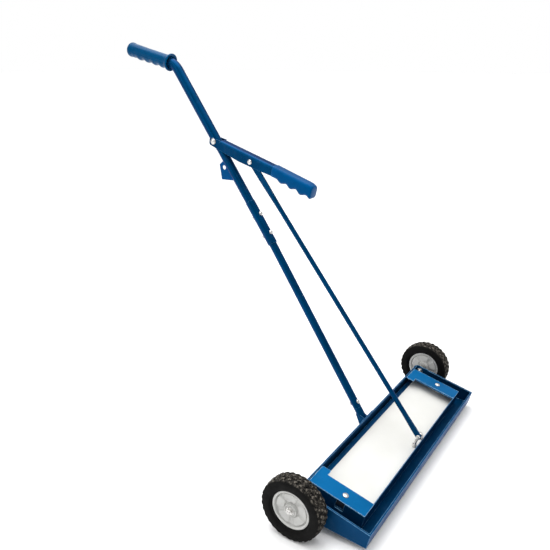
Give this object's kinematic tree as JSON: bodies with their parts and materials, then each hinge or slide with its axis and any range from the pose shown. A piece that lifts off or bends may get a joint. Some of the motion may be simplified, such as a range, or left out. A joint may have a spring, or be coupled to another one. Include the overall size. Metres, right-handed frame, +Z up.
{
  "type": "magnetic nail sweeper",
  "caption": "Push-along magnetic nail sweeper with two rear wheels, a bent tube handle and a hand lever whose rod lifts the hinged magnet plate.",
  "frame": {"origin": "on the floor under the middle of the bounding box", "axes": "+Z up, +Y to the rear, where the handle leans, -Y the front edge of the tray, X along the axle"},
  "size_m": [0.916, 1.0675, 1.1387],
  "materials": {
    "navy_paint": "gloss navy powder coat",
    "blue_paint": "satin bright blue paint",
    "zinc": "bright zinc plate",
    "bright_sheet": "bright pale sheet",
    "ferrite": "dull dark ferrite",
    "grip_plastic": "soft gloss blue",
    "hub_plastic": "light grey",
    "bush_plastic": "black",
    "tyre_rubber": "black, knobbly tread",
    "pad_rubber": "black"
  },
  "bodies": {
    "chassis": {"outer_tray": "navy_paint", "housing": "navy_paint", "end_plate_right": "blue_paint", "end_plate_left": "blue_paint", "plate_bolts": "zinc", "plate_nuts": "zinc", "axle_bolts": "zinc", "axle_nuts": "zinc", "axle_washers": "zinc", "axle_spacers": "zinc", "hinge_pins": "zinc", "hinge_collars": "zinc", "rest_pads": "pad_rubber", "handle_socket": "navy_paint", "handle_lower_tube": "navy_paint", "handle_sleeve": "navy_paint", "handle_mid_tube": "navy_paint", "handle_upper_tube": "navy_paint", "hanging_tab": "blue_paint", "handle_grip": "grip_plastic", "tube_bolts": "zinc", "tube_nuts": "zinc", "lever_bolt": "zinc", "lever_nut": "zinc"},
    "wheel_left": {"wheel_hub_left": "hub_plastic", "tyre_left": "tyre_rubber", "hub_bush_left": "bush_plastic"},
    "wheel_right": {"wheel_hub_right": "hub_plastic", "tyre_right": "tyre_rubber", "hub_bush_right": "bush_plastic"},
    "carrier": {"carrier_pan": "navy_paint", "cover_plate": "bright_sheet", "backing_plate": "zinc", "magnets": "ferrite", "eye_bolt": "zinc", "eye_nuts": "zinc", "eye_washer": "zinc"},
    "lever": {"release_lever": "navy_paint", "lever_grip": "grip_plastic", "rod_bolt": "zinc", "rod_nut": "zinc", "rod_spacers": "bush_plastic"},
    "rod": {"connecting_rod": "navy_paint", "eye_pin": "zinc", "eye_pin_nut": "zinc"}
  },
  "joints": [
    {"name": "carrier_tilt", "type": "hinge", "parent": "chassis", "child": "carrier", "pos_m": [0, -0.34442, 0.05574], "axis": [-1, 0, 0], "range_deg": [0, 8.5]},
    {"name": "lever_pivot", "type": "hinge", "parent": "chassis", "child": "lever", "pos_m": [0, 0.19645, 0.85858], "axis": [-1, 0, 0], "range_deg": [0, 13.4]},
    {"name": "rod_pivot", "type": "hinge", "parent": "lever", "child": "rod", "pos_m": [0, 0.0646, 0.80873], "axis": [-1, 0, 0], "range_deg": [-14.5, 0]},
    {"name": "wheel_left_spin", "type": "hinge", "parent": "chassis", "child": "wheel_left", "pos_m": [-0.4305, -0.3529, 0.0825], "axis": [1, 0, 0], "continuous": true},
    {"name": "wheel_right_spin", "type": "hinge", "parent": "chassis", "child": "wheel_right", "pos_m": [0.4305, -0.3529, 0.0825], "axis": [1, 0, 0], "continuous": true}
  ],
  "couplings": [
    {"joint": "lever_pivot", "follows": "carrier_tilt", "ratio": 1.57},
    {"joint": "rod_pivot", "follows": "carrier_tilt", "ratio": -1.695}
  ]
}
